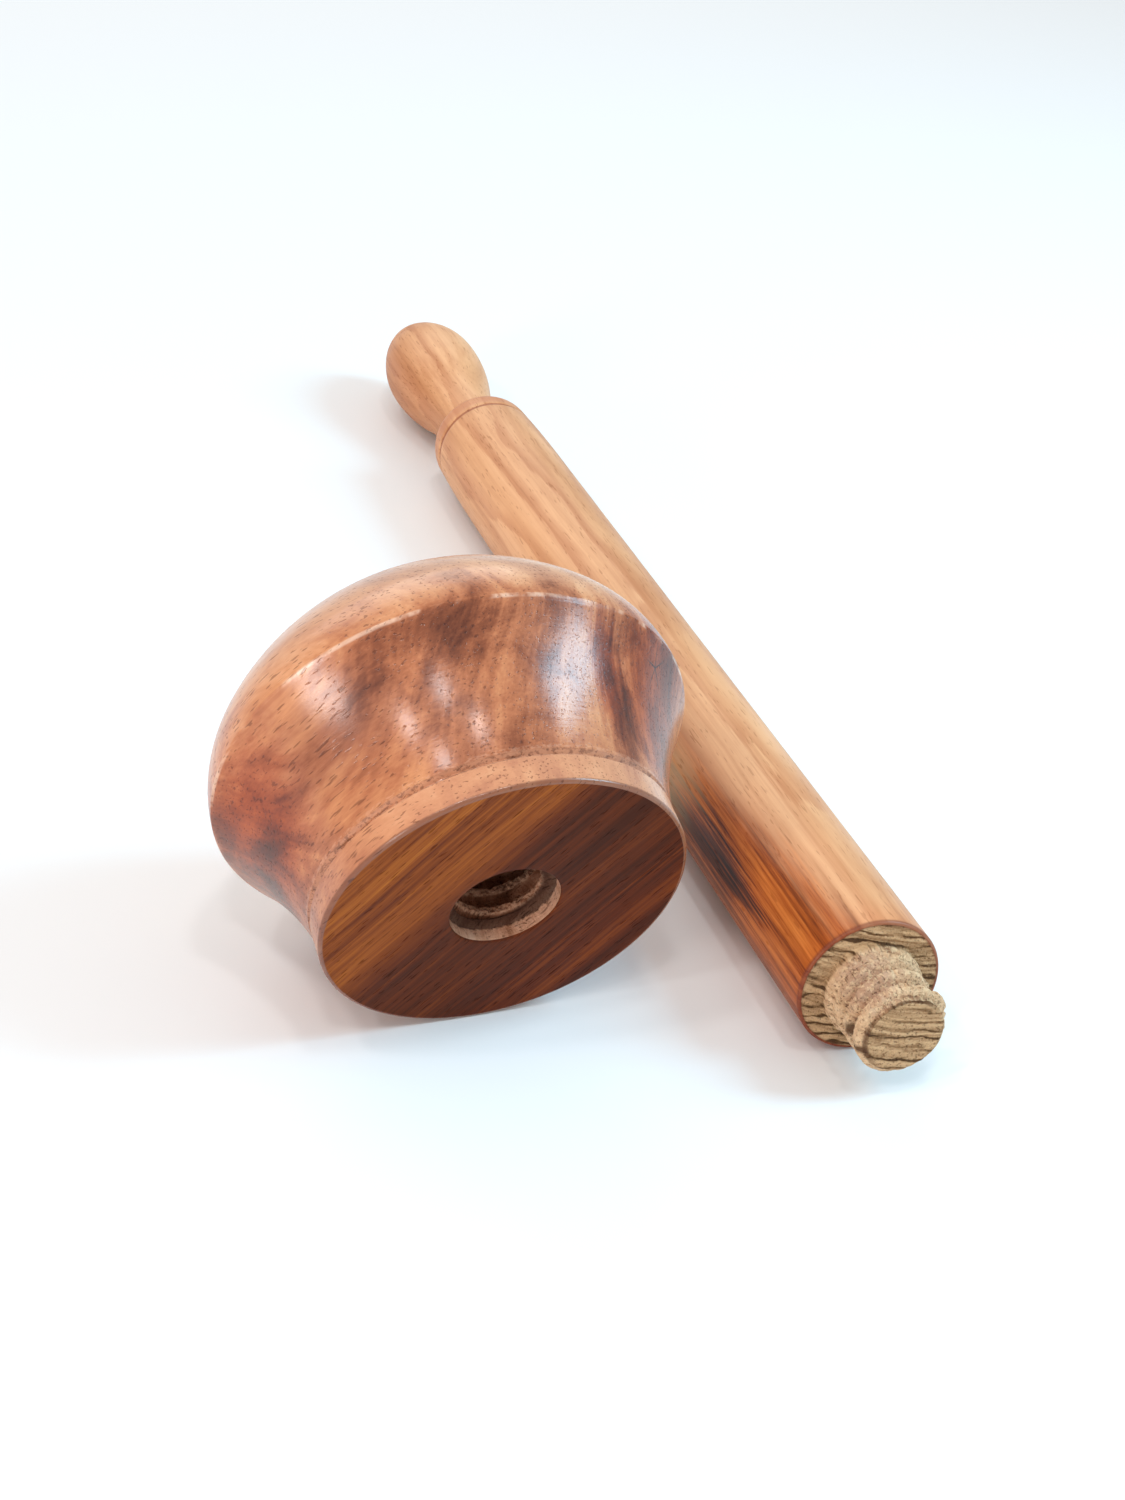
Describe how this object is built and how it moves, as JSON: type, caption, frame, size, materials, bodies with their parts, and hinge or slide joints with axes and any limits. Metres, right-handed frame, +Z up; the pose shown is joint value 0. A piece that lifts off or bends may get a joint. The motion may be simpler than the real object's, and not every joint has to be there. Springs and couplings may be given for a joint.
{
  "type": "wooden mallet",
  "caption": "Turned wooden mallet taken apart: a domed head with flat striking face and threaded socket, and a round handle with threaded tenon and egg knob.",
  "frame": {"origin": "bottom centre of the box round both pieces as they lie on the bench, on the plane they rest on", "axes": "+Z up; +Y along the handle from its threaded tenon towards its knob; +X from the head towards the handle"},
  "size_m": [0.1364, 0.3672, 0.0919],
  "materials": {
    "handle_wood": "satin polished",
    "head_wood": "gloss lacquered"
  },
  "bodies": {
    "handle": {"handle": "handle_wood"},
    "head": {"head": "head_wood"}
  },
  "joints": [
    {"name": "head_lift", "type": "slide", "parent": "handle", "child": "head", "axis": [0, 0, 1], "range_m": [0, 0.12]}
  ]
}
